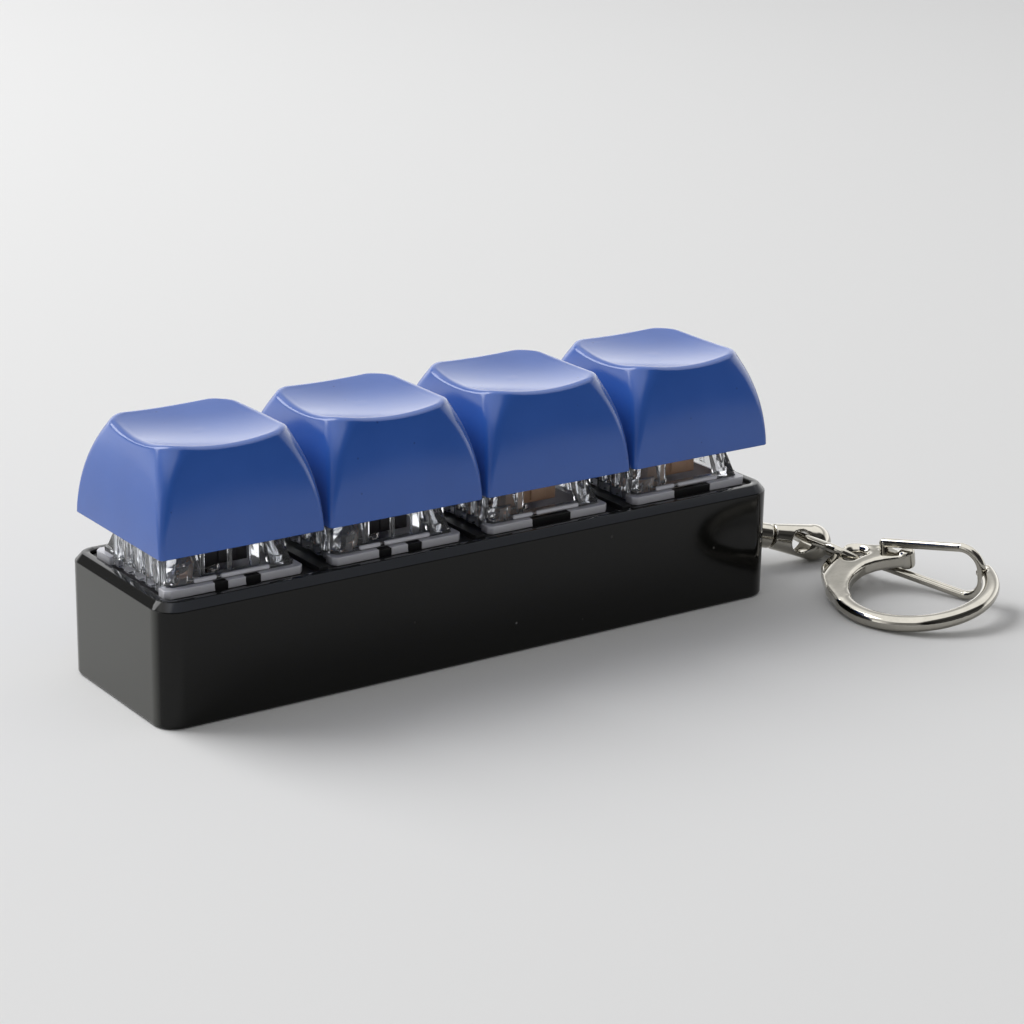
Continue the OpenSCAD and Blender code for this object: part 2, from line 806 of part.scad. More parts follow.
// X and Y lie in the clasp's own plane, from the middle of its ring
module clasp_frame() {
    translate(clasp_at)
        rotate([0, clasp_lean, 0])
            rotate([clasp_tip, 0, 0])
                children();
}

// The flat outline of the clasp's head and of the finger inside the gate
module head_outline() {
    difference() {
        union() {
            bar_2d(hole_xy, [-5.4, clasp_rm - 2.3], head_r, 1.5);
            bar_2d(hole_xy, pivot_xy, head_r, 1.15);
            bar_2d([-2.5, clasp_rm - 0.2], [1.2, clasp_rm - 0.3], 1, 1);
            polygon([
                [-1.5, clasp_ri], [0.37, clasp_ri + 0.28], [1.89, clasp_ri - 0.76],
                [3.29, clasp_ri - 1.95], nub_xy + [0.8, 0.3], [3.58, clasp_ri - 0.8],
                pivot_xy + [1.1, -0.3], pivot_xy
            ]);
        }
        circle(clasp_ri);
    }
    polygon([
        [0.37, clasp_ri + 0.28], [1.89, clasp_ri - 0.76], [3.29, clasp_ri - 1.95],
        nub_xy + [0.3, 0.4], nub_xy + [0.8, 0.3], [3.7, clasp_ri - 0.8], pivot_xy + [1, -0.5], pivot_xy
    ]);
}

module clasp_body() {
    sweep = 270 + tip_angle;
    color([0.78, 0.76, 0.72])
        clasp_frame()
            difference() {
                union() {
                    rotate([0, 0, 72])
                        rotate_extrude(angle = sweep + 18, $fn = 96)
                            translate([clasp_rm, 0])
                                round_rect(clasp_band, clasp_t, 0.3);
                    linear_extrude(clasp_t, center = true)
                        head_outline();
                    translate([nub_xy[0], nub_xy[1], -1.05])
                        cylinder(r = 0.85, h = 2.1);
                }
                translate([hole_xy[0], hole_xy[1], 0]) {
                    cylinder(d = head_hole, h = clasp_t + 1, center = true);
                    for (side = [0, 1])
                        mirror([0, 0, side])
                            translate([0, 0, 0.15])
                                cylinder(d1 = head_hole, d2 = head_hole + 1.4, h = 0.7);
                }
                translate([pivot_xy[0], pivot_xy[1], 0])
                    cylinder(d = gate_pin_d, h = clasp_t + 1, center = true);
                linear_extrude(clasp_t + 1, center = true)
                    bar_2d(bow_xy, bow_xy - 2 * [cos(gate_turn + 90), sin(gate_turn + 90)],
                        gate_wire / 2 + 0.12, gate_wire / 2 + 0.12);
                translate([-1.9, clasp_rm + 2.3, clasp_t / 2])
                    rotate([0, 0, 32])
                        rotate([-42, 0, 0])
                            block(16, 10, 0, 3);
            }
}

module clasp_gate() {
    along = [cos(gate_turn), sin(gate_turn), 0];
    start = [pivot_xy[0], pivot_xy[1], 0];
    leg_end = start + leg_l * along;
    color([0.78, 0.76, 0.72])
        clasp_frame() {
            for (side = [-1, 1]) {
                up = [0, 0, side];
                wire(start + 0.15 * up, start + leg_low * up, gate_wire);
                bend(start + leg_low * up, gate_wire);
                wire(start + leg_low * up, leg_end + leg_high * up, gate_wire);
                bend(leg_end + leg_high * up, gate_wire);
            }
            translate(leg_end)
                rotate([0, 0, gate_turn])
                    rotate([90, 0, 0])
                        bow();
        }
}

// The round end of the gate: X runs away from its pivot, Y across it
module bow() {
    reach = gate_l - leg_l;
    straight = leg_high - reach;
    for (side = [0, 1])
        mirror([0, side, 0])
            translate([0, straight, 0])
                rotate_extrude(angle = 90)
                    translate([reach, 0])
                        circle(d = gate_wire);
    translate([reach, 0, 0])
        rotate([90, 0, 0])
            cylinder(d = gate_wire, h = 2 * straight, center = true);
}

// ---- Nodes ----

case_shell();
switch_plate();
for (k = [1:4]) {
    kind = k < 3 ? 0 : 1;
    at_key(k) keycap();
    at_key(k) stem(kind);
    at_key(k) housing_top(kind);
    at_key(k) housing_base(kind);
    at_key(k) spring();
    at_key(k) contacts();
}
jump_ring();
swivel_stud();
swivel_barrel();
chain_link();
clasp_body();
clasp_gate();
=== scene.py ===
import math
import bmesh
import bpy
from mathutils import Matrix, Vector


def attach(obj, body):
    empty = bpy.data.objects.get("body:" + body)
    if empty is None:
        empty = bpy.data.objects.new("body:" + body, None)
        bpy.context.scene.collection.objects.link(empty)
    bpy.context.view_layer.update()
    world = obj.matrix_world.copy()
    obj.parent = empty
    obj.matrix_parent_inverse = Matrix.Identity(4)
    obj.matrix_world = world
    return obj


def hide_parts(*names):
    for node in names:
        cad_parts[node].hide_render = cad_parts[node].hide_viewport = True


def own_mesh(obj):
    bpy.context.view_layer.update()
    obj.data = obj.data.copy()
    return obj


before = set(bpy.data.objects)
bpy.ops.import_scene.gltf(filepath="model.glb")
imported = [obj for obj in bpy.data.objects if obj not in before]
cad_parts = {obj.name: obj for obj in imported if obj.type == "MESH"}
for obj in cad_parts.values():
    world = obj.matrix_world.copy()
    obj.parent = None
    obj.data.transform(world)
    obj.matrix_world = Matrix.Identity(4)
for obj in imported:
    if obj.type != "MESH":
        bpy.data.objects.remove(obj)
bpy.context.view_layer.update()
mm = 0.001
tiny = 1e-6
print("frame loaded:", len(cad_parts), "nodes")

# millimetres from key to key, and each key's place along the row
pitch = 19.05
keyX = [pitch * (k - 2.5) for k in (1, 2, 3, 4)]


def pickNone():
    bpy.ops.object.select_all(action="DESELECT")


def pick(obj):
    pickNone()
    obj.select_set(True)
    bpy.context.view_layer.objects.active = obj


def editOn(obj, mode="FACE"):
    pick(obj)
    bpy.ops.object.mode_set(mode="EDIT")
    bpy.ops.mesh.select_mode(type=mode)


def editOff():
    bpy.ops.object.mode_set(mode="OBJECT")


def selectFaces(test):
    # in edit mode: selects the faces whose centre passes the test
    bpy.ops.mesh.select_all(action="DESELECT")
    bm = bmesh.from_edit_mesh(bpy.context.edit_object.data)
    for face in bm.faces:
        if test(face.calc_center_median() / mm):
            face.select_set(True)
    bm.select_flush_mode()
    bmesh.update_edit_mesh(bpy.context.edit_object.data)


def selectEdges(test):
    bpy.ops.mesh.select_all(action="DESELECT")
    bm = bmesh.from_edit_mesh(bpy.context.edit_object.data)
    for edge in bm.edges:
        if test(edge.verts[0].co / mm, edge.verts[1].co / mm):
            edge.select_set(True)
    bmesh.update_edit_mesh(bpy.context.edit_object.data)


def modify(obj, kind, **settings):
    pick(obj)
    mod = obj.modifiers.new(kind.title(), kind)
    for key, value in settings.items():
        setattr(mod, key, value)
    bpy.ops.object.modifier_apply(modifier=mod.name)


def cut(obj, tool, operation="DIFFERENCE"):
    modify(obj, "BOOLEAN", object=tool, operation=operation, solver="EXACT")
    bpy.data.objects.remove(tool, do_unlink=True)


def smooth(obj, angle, weighted=True):
    pick(obj)
    bpy.ops.object.shade_smooth_by_angle(angle=math.radians(angle))
    if weighted:
        modify(obj, "WEIGHTED_NORMAL", keep_sharp=True, weight=60)


def moved(x, y, z=0):
    return Matrix.Translation((x * mm, y * mm, z * mm))


def turned(degrees, axis):
    return Matrix.Rotation(math.radians(degrees), 4, axis)


def settle(obj, matrix=None):
    # puts the object's place into its mesh
    if matrix is not None:
        obj.data.transform(matrix)
    pick(obj)
    bpy.ops.object.transform_apply(location=True, rotation=True, scale=True)


def block(low, high):
    # a block between two corners, in millimetres
    bpy.ops.mesh.primitive_cube_add(size=1, location=[(a + b) / 2 * mm for a, b in zip(low, high)])
    obj = bpy.context.active_object
    obj.scale = [(b - a) * mm for a, b in zip(low, high)]
    settle(obj)
    return obj


def rod(radius, low, high, at=(0, 0), sides=48):
    # an upright cylinder between two heights, in millimetres
    bpy.ops.mesh.primitive_cylinder_add(vertices=sides, radius=radius * mm, depth=(high - low) * mm,
                                        location=(at[0] * mm, at[1] * mm, (low + high) / 2 * mm))
    obj = bpy.context.active_object
    settle(obj)
    return obj


def breakEdges(obj, width, segments=3, angle=40):
    modify(obj, "BEVEL", width=width * mm, segments=segments, limit_method="ANGLE",
           angle_limit=math.radians(angle))


def joined(name, parts):
    pickNone()
    for part in parts:
        part.select_set(True)
    bpy.context.view_layer.objects.active = parts[0]
    bpy.ops.object.join()
    whole = bpy.context.view_layer.objects.active
    whole.name = name
    whole.data.name = name
    return whole


def finishPiece(obj, name, body, material, nodes=()):
    obj.name = name
    obj.data.name = name
    obj.data.materials.clear()
    obj.data.materials.append(material)
    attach(obj, body)
    if nodes:
        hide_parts(*nodes)


def copyPiece(obj, name, shiftX):
    other = obj.copy()
    other.data = obj.data.copy()
    other.name = name
    bpy.context.scene.collection.objects.link(other)
    other.data.transform(moved(shiftX, 0))
    return other


def reshape(old, new):
    # moves the selected ring from one rounded rectangle to another: (half x, half y, corner, height);
    # a height may be a function of x and y
    bm = bmesh.from_edit_mesh(bpy.context.edit_object.data)
    for v in bm.verts:
        if not v.select:
            continue
        for axis in (0, 1):
            u = abs(v.co[axis]) / mm
            flatOld = old[axis] - old[2]
            flatNew = new[axis] - new[2]
            if u <= flatOld + tiny:
                u = u * flatNew / max(flatOld, tiny)
            else:
                u = flatNew + (u - flatOld) * new[2] / max(old[2], tiny)
            v.co[axis] = math.copysign(u * mm, v.co[axis])
        v.co.z = (new[3](v.co.x / mm, v.co.y / mm) if callable(new[3]) else new[3]) * mm
    bmesh.update_edit_mesh(bpy.context.edit_object.data)


def roundedStart(first, cornerSteps, flatSteps=0):
    # a flat rounded rectangle, left in edit mode with its face selected: the foot of a stack of rings
    bpy.ops.mesh.primitive_plane_add(size=2 * mm, location=(0, 0, 0))
    obj = bpy.context.active_object
    obj.scale = (first[0], first[1], 1)
    settle(obj)
    editOn(obj, "VERT")
    bpy.ops.mesh.select_all(action="SELECT")
    bpy.ops.mesh.bevel(offset=first[2] * mm, segments=cornerSteps, affect="VERTICES", profile=0.5)
    if flatSteps:
        bpy.ops.mesh.select_mode(type="EDGE")
        selectEdges(lambda a, b: (a - b).length > first[2])
        bpy.ops.mesh.subdivide(number_cuts=flatSteps)
    bpy.ops.mesh.select_mode(type="FACE")
    bpy.ops.mesh.select_all(action="SELECT")
    bpy.ops.transform.translate(value=(0, 0, first[3] * mm))
    return obj


def grow(rings, first):
    # extrudes the selected face from ring to ring
    last = first
    for ring in rings:
        bpy.ops.mesh.extrude_region()
        reshape(last, ring)
        last = ring


def cleanNormals():
    bpy.ops.mesh.select_all(action="SELECT")
    bpy.ops.mesh.remove_doubles(threshold=0.002 * mm)
    bpy.ops.mesh.normals_make_consistent(inside=False)


def softCopy(node, name, edge):
    # a CAD node's solid with its edges broken, as moulded or stamped parts have them
    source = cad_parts[node]
    obj = source.copy()
    obj.data = source.data.copy()
    obj.name = name
    obj.parent = None
    obj.matrix_world = Matrix.Identity(4)
    bpy.context.scene.collection.objects.link(obj)
    editOn(obj, "VERT")
    bpy.ops.mesh.select_all(action="SELECT")
    bpy.ops.mesh.remove_doubles(threshold=0.003 * mm)
    bpy.ops.mesh.dissolve_limited(angle_limit=math.radians(1.5))
    editOff()
    if edge:
        breakEdges(obj, edge, 2, 28)
        smooth(obj, 40)
    return obj


def melt(obj, voxel, proud, rounds):
    # edges flow into one another, as on plated castings and bent wire
    modify(obj, "REMESH", mode="VOXEL", voxel_size=voxel * mm, use_smooth_shade=True)
    if proud:
        modify(obj, "DISPLACE", strength=proud * mm, mid_level=0)
    modify(obj, "SMOOTH", factor=0.5, iterations=rounds)
    pick(obj)
    bpy.ops.object.shade_smooth()
    return obj


def newMaterial(name, **values):
    mat = bpy.data.materials.new(name)
    mat.use_nodes = True
    shader = mat.node_tree.nodes["Principled BSDF"]
    for key, value in values.items():
        shader.inputs[key].default_value = value
    return mat, mat.node_tree, shader


def objectPattern(tree, kind, scale, **values):
    where = tree.nodes.new("ShaderNodeTexCoord")
    pattern = tree.nodes.new(kind)
    tree.links.new(where.outputs["Object"], pattern.inputs["Vector"])
    pattern.inputs["Scale"].default_value = scale
    for key, value in values.items():
        if key in pattern.inputs:
            pattern.inputs[key].default_value = value
        else:
            setattr(pattern, key, value)
    return pattern


def noise(tree, scale, detail, **values):
    return objectPattern(tree, "ShaderNodeTexNoise", scale, Detail=detail, **values).outputs["Fac"]


def ramp(tree, source, stops):
    node = tree.nodes.new("ShaderNodeValToRGB")
    tree.links.new(source, node.inputs["Fac"])
    while len(node.color_ramp.elements) < len(stops):
        node.color_ramp.elements.new(0.5)
    for element, (place, colour) in zip(node.color_ramp.elements, stops):
        element.position = place
        element.color = (*colour, 1)
    return node.outputs["Color"]


def blend(tree, share, low, high, kind="MIX"):
    node = tree.nodes.new("ShaderNodeMixRGB")
    node.blend_type = kind
    for socket, value in (("Fac", share), ("Color1", low), ("Color2", high)):
        if isinstance(value, bpy.types.NodeSocket):
            tree.links.new(value, node.inputs[socket])
        elif isinstance(value, tuple):
            node.inputs[socket].default_value = (*value, 1)
        else:
            node.inputs[socket].default_value = value
    return node.outputs["Color"]


def spread(tree, source, low, high):
    node = tree.nodes.new("ShaderNodeMapRange")
    tree.links.new(source, node.inputs["Value"])
    node.inputs["To Min"].default_value = low
    node.inputs["To Max"].default_value = high
    return node.outputs["Result"]


def bumps(tree, shader, source, strength, distance, onto=None):
    node = tree.nodes.new("ShaderNodeBump")
    node.inputs["Strength"].default_value = strength
    node.inputs["Distance"].default_value = distance
    tree.links.new(source, node.inputs["Height"])
    if onto is not None:
        tree.links.new(onto, node.inputs["Normal"])
    tree.links.new(node.outputs["Normal"], shader.inputs["Normal"])
    return node.outputs["Normal"]


black = (0, 0, 0)
white = (1, 1, 1)
capLook = {"colour": (0.025, 0.106, 0.445), "darker": (0.0225, 0.098, 0.42), "rough": (0.17, 0.28),
           "cloud": 160, "specks": 420, "speckShare": 0.35, "wave": 260, "grain": 2600}


def capMaterial():
    mat, tree, shader = newMaterial("capBlue", **{"IOR": 1.56, "Sheen Weight": 0.26, "Sheen Roughness": 0.35})
    cloud = noise(tree, capLook["cloud"], 4)
    colour = ramp(tree, cloud, [(0.35, capLook["darker"]), (0.65, capLook["colour"])])
    specks = objectPattern(tree, "ShaderNodeTexVoronoi", capLook["specks"], feature="F1")
    dots = ramp(tree, specks.outputs["Distance"], [(0.0, black), (0.035, black), (0.06, white)])
    colour = blend(tree, capLook["speckShare"], colour, dots, "MULTIPLY")
    tree.links.new(colour, shader.inputs["Base Color"])
    tree.links.new(spread(tree, cloud, *capLook["rough"]), shader.inputs["Roughness"])
    soft = bumps(tree, shader, noise(tree, capLook["wave"], 2), 0.12, 0.00006)
    bumps(tree, shader, noise(tree, capLook["grain"], 3), 0.18, 0.00001, soft)
    return mat


caseLook = {"colour": (0.0045, 0.0045, 0.004), "dust": (0.20, 0.20, 0.19), "paintedLightEnds": (0.075, 0.076, 0.070),
            "upper": (0.046, 0.049, 0.056), "rough": (0.04, 0.12), "specks": 330, "patches": 90, "haze": 55,
            "ripple": 70,
            "upperAt": [(0.35, black), (0.6, white), (0.85, white), (0.97, (0.25, 0.25, 0.25))],
            "paintedLightSlantAt": [(0.4, black), (0.6, white)], "paintedLightEndsAt": [(0.86, black), (0.995, white)]}


def caseMaterial():
    mat, tree, shader = newMaterial("caseBlack", **{"IOR": 1.5, "Specular IOR Level": 0.25})
    # specks of dust lie in patches
    specks = objectPattern(tree, "ShaderNodeTexVoronoi", caseLook["specks"], feature="F1", Randomness=1.0)
    dots = ramp(tree, specks.outputs["Distance"], [(0.0, white), (0.045, white), (0.07, black)])
    patches = ramp(tree, noise(tree, caseLook["patches"], 1), [(0.56, black), (0.66, white)])
    dust = blend(tree, 1.0, dots, patches, "MULTIPLY")
    # painted light: what faces up is painted a lighter grey as a painted highlight, and the short ends are
    # painted a lighter grey as painted light on the lit end
    facing = tree.nodes.new("ShaderNodeTexCoord")
    parts = tree.nodes.new("ShaderNodeSeparateXYZ")
    tree.links.new(facing.outputs["Normal"], parts.inputs["Vector"])
    side = tree.nodes.new("ShaderNodeMath")
    side.operation = "ABSOLUTE"
    tree.links.new(parts.outputs["X"], side.inputs[0])
    plain = caseLook["colour"]
    # painted highlight: faces turned up, the front and back chamfers most, take a lighter grey than the plain
    # black
    colour = blend(tree, ramp(tree, parts.outputs["Z"], caseLook["upperAt"]), plain, caseLook["upper"])
    # the slanted faces at the ends keep the plain black, outside the painted highlight
    colour = blend(tree, ramp(tree, side.outputs[0], caseLook["paintedLightSlantAt"]), colour, plain)
    # painted light: the short end faces take a lighter grey, standing in for the light on the lit end
    colour = blend(tree, ramp(tree, side.outputs[0], caseLook["paintedLightEndsAt"]), colour, caseLook["paintedLightEnds"])
    tree.links.new(blend(tree, dust, colour, caseLook["dust"]), shader.inputs["Base Color"])
    haze = noise(tree, caseLook["haze"], 5, Roughness=0.6)
    tree.links.new(spread(tree, haze, *caseLook["rough"]), shader.inputs["Roughness"])
    soft = bumps(tree, shader, noise(tree, caseLook["ripple"], 1), 0.10, 0.0002)
    bumps(tree, shader, dust, 0.3, 0.00002, soft)
    return mat


plateLook = {"colour": (0.014, 0.014, 0.015), "rough": (0.32, 0.5), "grain": 900}


def plateMaterial():
    mat, tree, shader = newMaterial("plateBlack", **{"Base Color": (*plateLook["colour"], 1), "IOR": 1.5,
                                                    "Specular IOR Level": 0.3})
    grain = noise(tree, plateLook["grain"], 4)
    tree.links.new(spread(tree, grain, *plateLook["rough"]), shader.inputs["Roughness"])
    bumps(tree, shader, grain, 0.2, 0.00002)
    return mat


def clearMaterial(name, colour, rough, clear, flowScale=240):
    mat, tree, shader = newMaterial(name, **{"Base Color": (*colour, 1), "IOR": 1.49,
                                             "Transmission Weight": clear})
    flow = noise(tree, flowScale, 3)
    tree.links.new(spread(tree, flow, rough * 0.6, rough * 1.5), shader.inputs["Roughness"])
    bumps(tree, shader, flow, 0.15, 0.00008)
    return mat


def plainMaterial(name, colour, rough, metal=0.0, grainScale=700):
    mat, tree, shader = newMaterial(name, **{"Metallic": metal, "IOR": 1.5})
    grain = noise(tree, grainScale, 4)
    dark = tuple(c * 0.86 for c in colour)
    tree.links.new(ramp(tree, grain, [(0.3, dark), (0.7, colour)]), shader.inputs["Base Color"])
    tree.links.new(spread(tree, grain, rough * 0.75, rough * 1.3), shader.inputs["Roughness"])
    bumps(tree, shader, grain, 0.15, 0.00001)
    return mat


nickelLook = {"colour": (0.43, 0.41, 0.365), "dark": (0.36, 0.345, 0.305), "rough": (0.105, 0.035),
              "cloud": 380, "wear": 1500}


def nickelMaterial():
    mat, tree, shader = newMaterial("nickelPlate", **{"Metallic": 1.0})
    cloud = noise(tree, nickelLook["cloud"], 5, Roughness=0.65)
    colour = ramp(tree, cloud, [(0.3, nickelLook["dark"]), (0.62, nickelLook["colour"])])
    tree.links.new(colour, shader.inputs["Base Color"])
    tree.links.new(spread(tree, cloud, *nickelLook["rough"]), shader.inputs["Roughness"])
    soft = bumps(tree, shader, cloud, 0.12, 0.00004)
    bumps(tree, shader, noise(tree, nickelLook["wear"], 2), 0.08, 0.00001, soft)
    return mat


capBlue = capMaterial()
caseBlack = caseMaterial()
plateBlack = plateMaterial()
clearTop = clearMaterial("clearTopPlastic", (0.94, 0.95, 0.97), 0.04, 0.94)
clearBase = clearMaterial("clearBasePlastic", (0.84, 0.84, 0.89), 0.16, 0.18)
stemDark = plainMaterial("stemDarkPlastic", (0.035, 0.033, 0.035), 0.4)
stemTan = plainMaterial("stemTanPlastic", (0.60, 0.38, 0.25), 0.42)
springSteel = plainMaterial("springSteelWire", (0.62, 0.60, 0.57), 0.22, 1.0)
copper = plainMaterial("contactCopper", (0.80, 0.45, 0.28), 0.3, 1.0)
nickel = nickelMaterial()
print("materials made")


shot = {"place": (-151.25, -230.92, 104.25), "yaw": 34.92, "pitch": 18.19, "roll": 1.08, "lens": 95.49,
        "sensor": 36, "clip": (0.01, 20)}


def makeCamera():
    bpy.ops.object.camera_add()
    camera = bpy.context.active_object
    camera.name = "shotCamera"
    camera.matrix_world = (moved(*shot["place"]) @ turned(-shot["yaw"], "Z") @ turned(90 - shot["pitch"], "X")
                           @ turned(shot["roll"], "Z"))
    camera.data.lens = shot["lens"]
    camera.data.sensor_width = shot["sensor"]
    camera.data.clip_start, camera.data.clip_end = shot["clip"]
    bpy.context.scene.camera = camera


studio = {"floor": (0.80, 0.80, 0.80), "floorRadius": 8, "ambient": 0.405, "horizon": 0.60,
          "sky": [(0.0, 1.9), (0.1, 1.9), (0.25, 1.75), (0.36, 1.5), (0.46, 0.95), (0.57, 0.72), (0.68, 1.8)],
          "dark": [((0.15, -0.9, 0.4), (0.62, 1.0), (0.74, 0.05)),
                   ((-0.75, -0.6, 0.1), (0.74, 1.0), (0.92, 0.2)),
                   ((-0.31, 0.80, 0.52), (0.90, 1.0), (0.975, 0.2))],
          "lamp": (-0.43, 0.67, 0.78), "lampSide": 0.75, "lampPower": 10.5, "aim": (0.0, 0.0, 0.01)}


def makeFloor():
    bpy.ops.mesh.primitive_circle_add(vertices=96, radius=studio["floorRadius"], fill_type="NGON",
                                      location=(0, 0, 0))
    floor = bpy.context.active_object
    floor.name = "studioFloor"
    paper, _, _ = newMaterial("studioPaper", **{"Base Color": (*studio["floor"], 1), "Roughness": 0.9,
                                                "Specular IOR Level": 0.1})
    floor.data.materials.append(paper)


def makeWorld():
    # the lens sees a pale room; gloss and clear plastic see a bright ceiling with dark patches
    world = bpy.data.worlds.new("studioLight")
    world.use_nodes = True
    tree = world.node_tree
    even = tree.nodes["Background"]
    even.inputs["Color"].default_value = (1, 1, 1, 1)
    even.inputs["Strength"].default_value = studio["ambient"]
    way = tree.nodes.new("ShaderNodeTexCoord")
    parts = tree.nodes.new("ShaderNodeSeparateXYZ")
    tree.links.new(way.outputs["Generated"], parts.inputs["Vector"])
    brightest = max(v for z, v in studio["sky"])
    sky = ramp(tree, parts.outputs["Z"], [(z, (v / brightest,) * 3) for z, v in studio["sky"]])
    for side, *stops in studio["dark"]:
        toward = tree.nodes.new("ShaderNodeVectorMath")
        toward.operation = "DOT_PRODUCT"
        tree.links.new(way.outputs["Generated"], toward.inputs[0])
        toward.inputs[1].default_value = Vector(side).normalized()
        shade = ramp(tree, toward.outputs["Value"], [(t, (v,) * 3) for t, v in stops])
        sky = blend(tree, 1.0, sky, shade, "MULTIPLY")
    room = tree.nodes.new("ShaderNodeBackground")
    tree.links.new(sky, room.inputs["Color"])
    room.inputs["Strength"].default_value = brightest
    horizon = tree.nodes.new("ShaderNodeBackground")
    horizon.inputs["Strength"].default_value = studio["horizon"]
    light = tree.nodes.new("ShaderNodeLightPath")
    gloss = tree.nodes.new("ShaderNodeMath")
    gloss.operation = "MAXIMUM"
    tree.links.new(light.outputs["Is Glossy Ray"], gloss.inputs[0])
    tree.links.new(light.outputs["Is Transmission Ray"], gloss.inputs[1])
    last = even
    for share, source in ((gloss.outputs[0], room), (light.outputs["Is Camera Ray"], horizon)):
        mix = tree.nodes.new("ShaderNodeMixShader")
        tree.links.new(share, mix.inputs["Fac"])
        tree.links.new(last.outputs[0], mix.inputs[1])
        tree.links.new(source.outputs[0], mix.inputs[2])
        last = mix
    tree.links.new(last.outputs[0], tree.nodes["World Output"].inputs["Surface"])
    bpy.context.scene.world = world


def makeLamp():
    bpy.ops.object.light_add(type="AREA", location=studio["lamp"])
    lamp = bpy.context.active_object
    lamp.name = "keySoftbox"
    lamp.data.shape = "SQUARE"
    lamp.data.size = studio["lampSide"]
    lamp.data.energy = studio["lampPower"]
    lamp.visible_camera = False
    aim = Vector(studio["aim"]) - Vector(studio["lamp"])
    lamp.rotation_euler = aim.to_track_quat("-Z", "Y").to_euler()


makeCamera()
makeFloor()
makeWorld()
makeLamp()
bpy.context.scene.view_settings.view_transform = "Standard"
print("camera and studio ready")


cap = {"low": 17.5, "cornerTopZ": 28.04, "half": 9.25, "slope": 0.002, "curve": 0.0242,
       "cornerLow": 0.4, "cornerTop": 2.38, "footRound": 0.12, "bulge": 0.92, "forward": 0.3,
       "rimRound": 0.94, "rimStart": 26, "rimEnd": 98, "rimDrop": 0.3, "rimCorner": 0.6,
       "dishX": 0.011, "dishY": 0.015, "dishXY": 0.0001, "dishIn": 0.8, "liftBack": 0.005, "liftRight": 0.010,
       "wall": 1.05, "innerCorner": 0.5, "ceiling": 25.2, "ceilingEdge": 0.5,
       "boss": 5.5, "bossLow": 19.15, "bossSink": 0.3, "bossEdge": 0.12,
       "cross": (4.2, 1.4), "crossDeep": 4.0,
       "cornerSteps": 9, "flatSteps": 11, "sideSteps": 16, "rimSteps": 10, "dishSteps": 12, "innerSteps": 6}


def capHalf(z):
    return cap["half"] - cap["slope"] * z - cap["curve"] * z * z


def capCorner(z):
    return cap["cornerLow"] + (cap["cornerTop"] - cap["cornerLow"]) * z / (cap["cornerTopZ"] - cap["low"])


def swell(obj, low, rimZ, high):
    # the straight edges swell outwards towards the top
    bm = bmesh.from_edit_mesh(obj.data)
    for v in bm.verts:
        up = max(0, min(rimZ, v.co.z / mm - low))
        amount = cap["bulge"] * (up / high) ** 2
        half = capHalf(up)
        x, y = v.co.x / mm / half, v.co.y / mm / half
        v.co.x += amount * mm * x * max(0, 1 - y * y)
        v.co.y += amount * mm * y * max(0, 1 - x * x)
    bmesh.update_edit_mesh(obj.data)


def footRings():
    foot = cap["footRound"]
    rings = []
    for angle in (35, 65, 90):
        a = math.radians(angle)
        half = capHalf(foot) - foot * (1 - math.sin(a))
        rings.append((half, half, cap["cornerLow"] + 0.05, cap["low"] + foot * (1 - math.cos(a))))
    return rings


def hollowRings():
    # the underside follows the outer wall up to a flat ceiling
    low, wall, corner = cap["low"], cap["wall"], cap["innerCorner"]
    inner = cap["half"] - wall
    rings = [(inner, inner, corner, low), (inner - 0.05, inner - 0.05, corner, low + 0.1)]
    for step in range(1, cap["innerSteps"] + 1):
        z = (cap["ceiling"] - low) * step / cap["innerSteps"]
        half = capHalf(z) - wall
        rings.append((half, half, max(capCorner(z) - wall, corner), low + z))
    half -= cap["ceilingEdge"]
    rings.append((half, half, corner, cap["ceiling"] + 0.02))
    return rings


def makeCapShell():
    low, rimRound = cap["low"], cap["rimRound"]
    high = cap["cornerTopZ"] - low
    startAngle, endAngle = math.radians(cap["rimStart"]), math.radians(cap["rimEnd"])
    rise = rimRound * (1 - math.sin(startAngle))
    rimZ = high - rise - cap["rimDrop"]
    rimHalf = capHalf(rimZ)
    reach = rimHalf - cap["dishIn"]
    dishLow = cap["cornerTopZ"] - (cap["dishX"] + cap["dishY"]) * reach ** 2 - cap["dishXY"] * reach ** 4

    def dish(x, y):
        # the back and right edges dip less than the other two
        back = max(0, y / reach + 1) ** 3 / 8
        right = max(0, x / reach + 1) ** 3 / 8
        return (dishLow + cap["dishX"] * x * x + cap["dishY"] * y * y + cap["dishXY"] * x * x * y * y
                + cap["liftBack"] * max(0, reach ** 2 - x * x) * back
                + cap["liftRight"] * max(0, reach ** 2 - y * y) * right)

    def sideZ(share):
        # the side rings follow the dip of the rim more and more towards the top
        return lambda x, y: low + (dish(x, y) - rise - low) * share

    def rimLine(drop):
        return lambda x, y: dish(x, y) - drop

    foot = cap["footRound"]
    first = (cap["half"] - foot, cap["half"] - foot, cap["cornerLow"], low)
    obj = roundedStart(first, cap["cornerSteps"], cap["flatSteps"])
    rings = footRings()
    for step in range(1, cap["sideSteps"] + 1):
        z = foot + (rimZ - foot) * step / cap["sideSteps"]
        rings.append((capHalf(z), capHalf(z), capCorner(z), sideZ(z / rimZ)))
    for step in range(1, cap["rimSteps"] + 1):
        a = startAngle + (endAngle - startAngle) * step / cap["rimSteps"]
        inset = rimRound * (math.cos(startAngle) - math.cos(a))
        rings.append((rimHalf - inset, rimHalf - inset, capCorner(rimZ) - inset * cap["rimCorner"],
                      rimLine(rimRound * (1 - math.sin(a)))))
    lastHalf, _, lastCorner, _ = rings[-1]
    for step in range(1, cap["dishSteps"]):
        share = 1 - step / cap["dishSteps"]
        rings.append((lastHalf * share, lastHalf * share, lastCorner * share, dish))
    grow(rings, first)
    selectFaces(lambda c: abs(c.z - low) < 0.02 and abs(c.x) < 1 and abs(c.y) < 1)
    grow(hollowRings(), first)
    swell(obj, low, rimZ, high)
    cleanNormals()
    editOff()
    settle(obj, moved(0, -cap["forward"]))
    return obj


